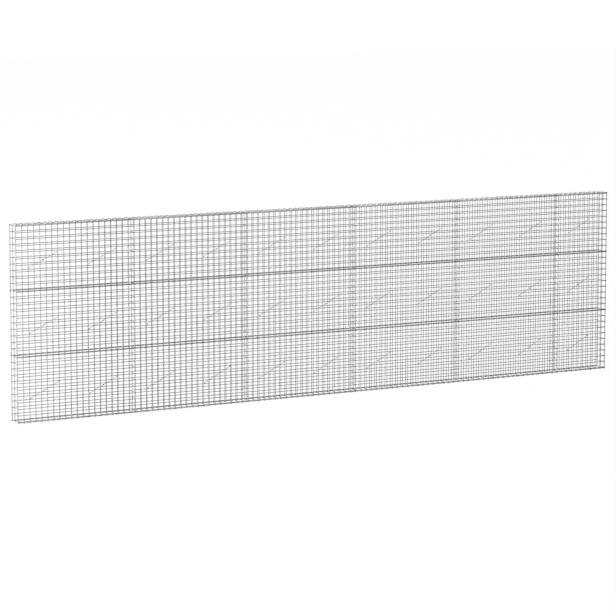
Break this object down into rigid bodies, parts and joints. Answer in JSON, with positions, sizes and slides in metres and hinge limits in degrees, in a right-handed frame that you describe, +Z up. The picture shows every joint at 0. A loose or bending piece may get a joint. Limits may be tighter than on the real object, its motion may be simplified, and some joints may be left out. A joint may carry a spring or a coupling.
{
  "type": "gabion wall",
  "caption": "Free-standing empty gabion wall of welded wire mesh: long narrow mesh baskets in bays and tiers, with cross panels, slanting tie wires and hinged mesh lids.",
  "frame": {"origin": "middle of the footprint, on the ground", "axes": "+X along the wall towards the half bay, +Y towards the back, where the lids are hinged, +Z up"},
  "size_m": [5.507, 0.132, 1.5202],
  "materials": {
    "mesh_wire": "hot-dip galvanised, weathered dull grey",
    "panel_wire": "hot-dip galvanised, paler grey than the long mats",
    "tie_wire": "galvanised, bright",
    "ring_wire": "galvanised, pale grey"
  },
  "bodies": {
    "wall": {"front_panel_1_1": "mesh_wire", "front_panel_1_2": "mesh_wire", "front_panel_1_3": "mesh_wire", "front_panel_1_4": "mesh_wire", "front_panel_1_5": "mesh_wire", "front_panel_2_1": "mesh_wire", "front_panel_2_2": "mesh_wire", "front_panel_2_3": "mesh_wire", "front_panel_2_4": "mesh_wire", "front_panel_2_5": "mesh_wire", "front_panel_3_1": "mesh_wire", "front_panel_3_2": "mesh_wire", "front_panel_3_3": "mesh_wire", "front_panel_3_4": "mesh_wire", "front_panel_3_5": "mesh_wire", "back_panel_1_1": "mesh_wire", "back_panel_1_2": "mesh_wire", "back_panel_1_3": "mesh_wire", "back_panel_1_4": "mesh_wire", "back_panel_1_5": "mesh_wire", "back_panel_2_1": "mesh_wire", "back_panel_2_2": "mesh_wire", "back_panel_2_3": "mesh_wire", "back_panel_2_4": "mesh_wire", "back_panel_2_5": "mesh_wire", "back_panel_3_1": "mesh_wire", "back_panel_3_2": "mesh_wire", "back_panel_3_3": "mesh_wire", "back_panel_3_4": "mesh_wire", "back_panel_3_5": "mesh_wire", "front_half_bay": "mesh_wire", "back_half_bay": "mesh_wire", "left_end": "mesh_wire", "right_end": "mesh_wire", "dividers": "panel_wire", "base_mesh": "panel_wire", "tie_wires": "tie_wire", "seam_rings": "ring_wire", "hinge_rings": "ring_wire"},
    "lid_body_1": {"lid_1": "panel_wire"},
    "lid_body_2": {"lid_2": "panel_wire"},
    "lid_body_3": {"lid_3": "panel_wire"},
    "lid_body_4": {"lid_4": "panel_wire"},
    "lid_body_5": {"lid_5": "panel_wire"},
    "lid_body_6": {"lid_6": "panel_wire"}
  },
  "joints": [
    {"name": "lid_1_hinge", "type": "hinge", "parent": "wall", "child": "lid_body_1", "pos_m": [-2.25, 0.06, 1.5131], "axis": [-1, 0, 0], "range_deg": [0, 100]},
    {"name": "lid_2_hinge", "type": "hinge", "parent": "wall", "child": "lid_body_2", "pos_m": [-1.25, 0.06, 1.5131], "axis": [-1, 0, 0], "range_deg": [0, 100]},
    {"name": "lid_3_hinge", "type": "hinge", "parent": "wall", "child": "lid_body_3", "pos_m": [-0.25, 0.06, 1.5131], "axis": [-1, 0, 0], "range_deg": [0, 100]},
    {"name": "lid_4_hinge", "type": "hinge", "parent": "wall", "child": "lid_body_4", "pos_m": [0.75, 0.06, 1.5131], "axis": [-1, 0, 0], "range_deg": [0, 100]},
    {"name": "lid_5_hinge", "type": "hinge", "parent": "wall", "child": "lid_body_5", "pos_m": [1.75, 0.06, 1.5131], "axis": [-1, 0, 0], "range_deg": [0, 100]},
    {"name": "lid_6_hinge", "type": "hinge", "parent": "wall", "child": "lid_body_6", "pos_m": [2.5, 0.06, 1.5131], "axis": [-1, 0, 0], "range_deg": [0, 100]}
  ]
}
